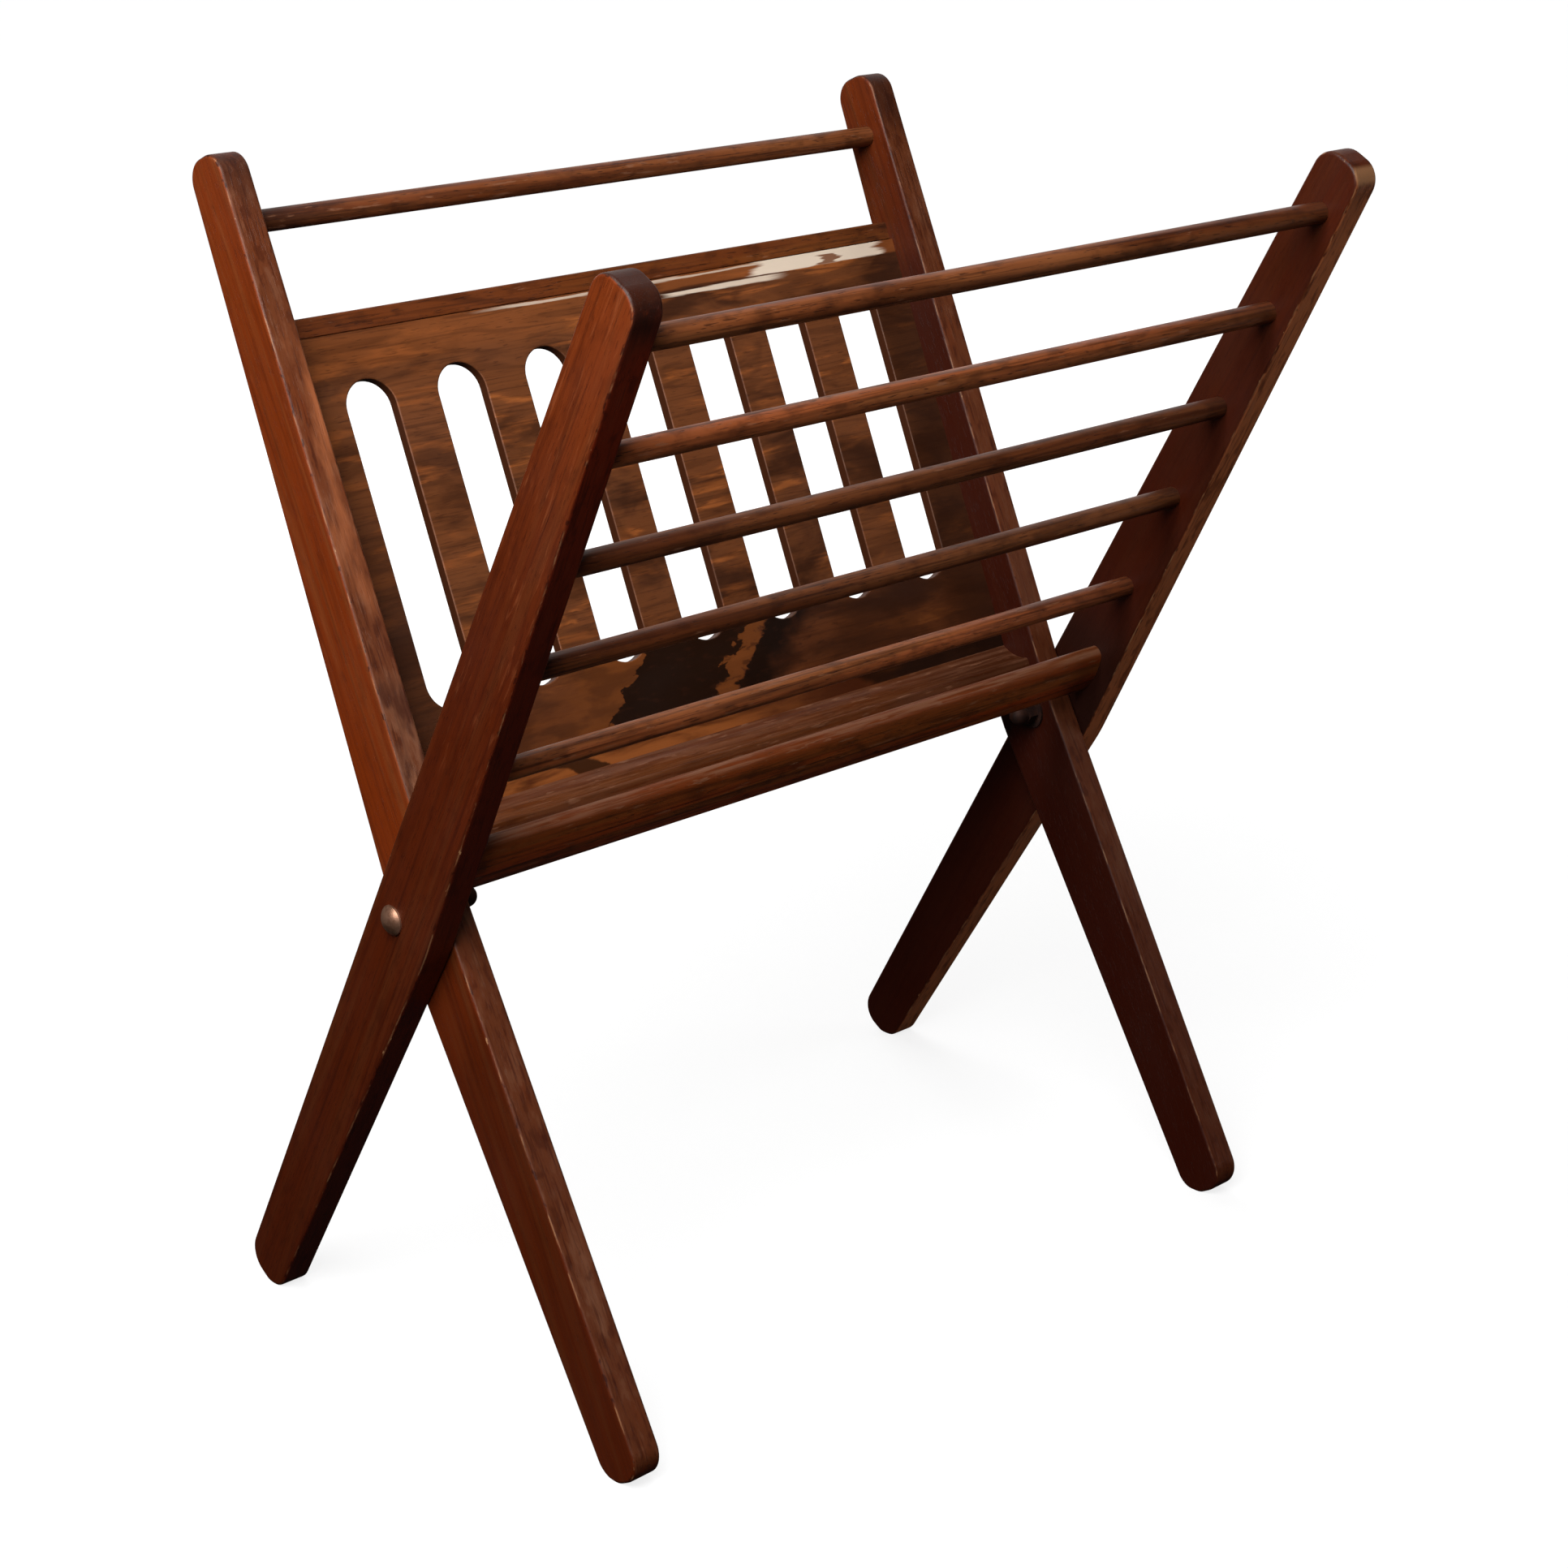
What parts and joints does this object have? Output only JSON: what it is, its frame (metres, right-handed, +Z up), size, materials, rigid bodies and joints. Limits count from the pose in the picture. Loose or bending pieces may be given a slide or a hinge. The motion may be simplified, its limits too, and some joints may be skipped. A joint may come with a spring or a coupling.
{
  "type": "folding magazine rack",
  "caption": "Folding wooden magazine rack: two crossed frames on pivot bolts, round dowels in front, a slotted plywood panel behind, with a trough between them.",
  "frame": {"origin": "on the floor, under the middle of the rack's box in the open position", "axes": "+X along the pivot axis, towards the right for someone facing the dowels; +Y to the rear, the way the slotted panel leans; +Z up"},
  "size_m": [0.415, 0.3024, 0.5125],
  "materials": {
    "stile_wood": "satin stain",
    "rail_wood": "satin stain",
    "dowel_wood": "satin stain",
    "panel_plywood": "satin stain",
    "bolt_bronze": "aged",
    "dark_steel": "darkened"
  },
  "bodies": {
    "front_frame": {"front_stile_left": "stile_wood", "front_stile_right": "stile_wood", "front_dowel_1": "dowel_wood", "front_dowel_2": "dowel_wood", "front_dowel_3": "dowel_wood", "front_dowel_4": "dowel_wood", "front_dowel_5": "dowel_wood", "front_bottom_rail": "rail_wood", "front_rail_pins": "dowel_wood", "pivot_bolt_left": "bolt_bronze", "spacer_washer_left": "dark_steel", "nut_washer_left": "dark_steel", "cap_nut_left": "dark_steel", "pivot_bolt_right": "bolt_bronze", "spacer_washer_right": "dark_steel", "nut_washer_right": "dark_steel", "cap_nut_right": "dark_steel"},
    "rear_frame": {"rear_stile_left": "stile_wood", "rear_stile_right": "stile_wood", "rear_top_dowel": "dowel_wood", "panel_top_rail": "rail_wood", "top_rail_pins": "dowel_wood", "slotted_panel": "panel_plywood", "panel_bottom_rail": "rail_wood", "bottom_rail_pins": "dowel_wood"}
  },
  "joints": [
    {"name": "fold", "type": "hinge", "parent": "front_frame", "child": "rear_frame", "pos_m": [0, 0.01473, 0.218], "axis": [1, 0, 0], "range_deg": [0, 27.5]}
  ]
}
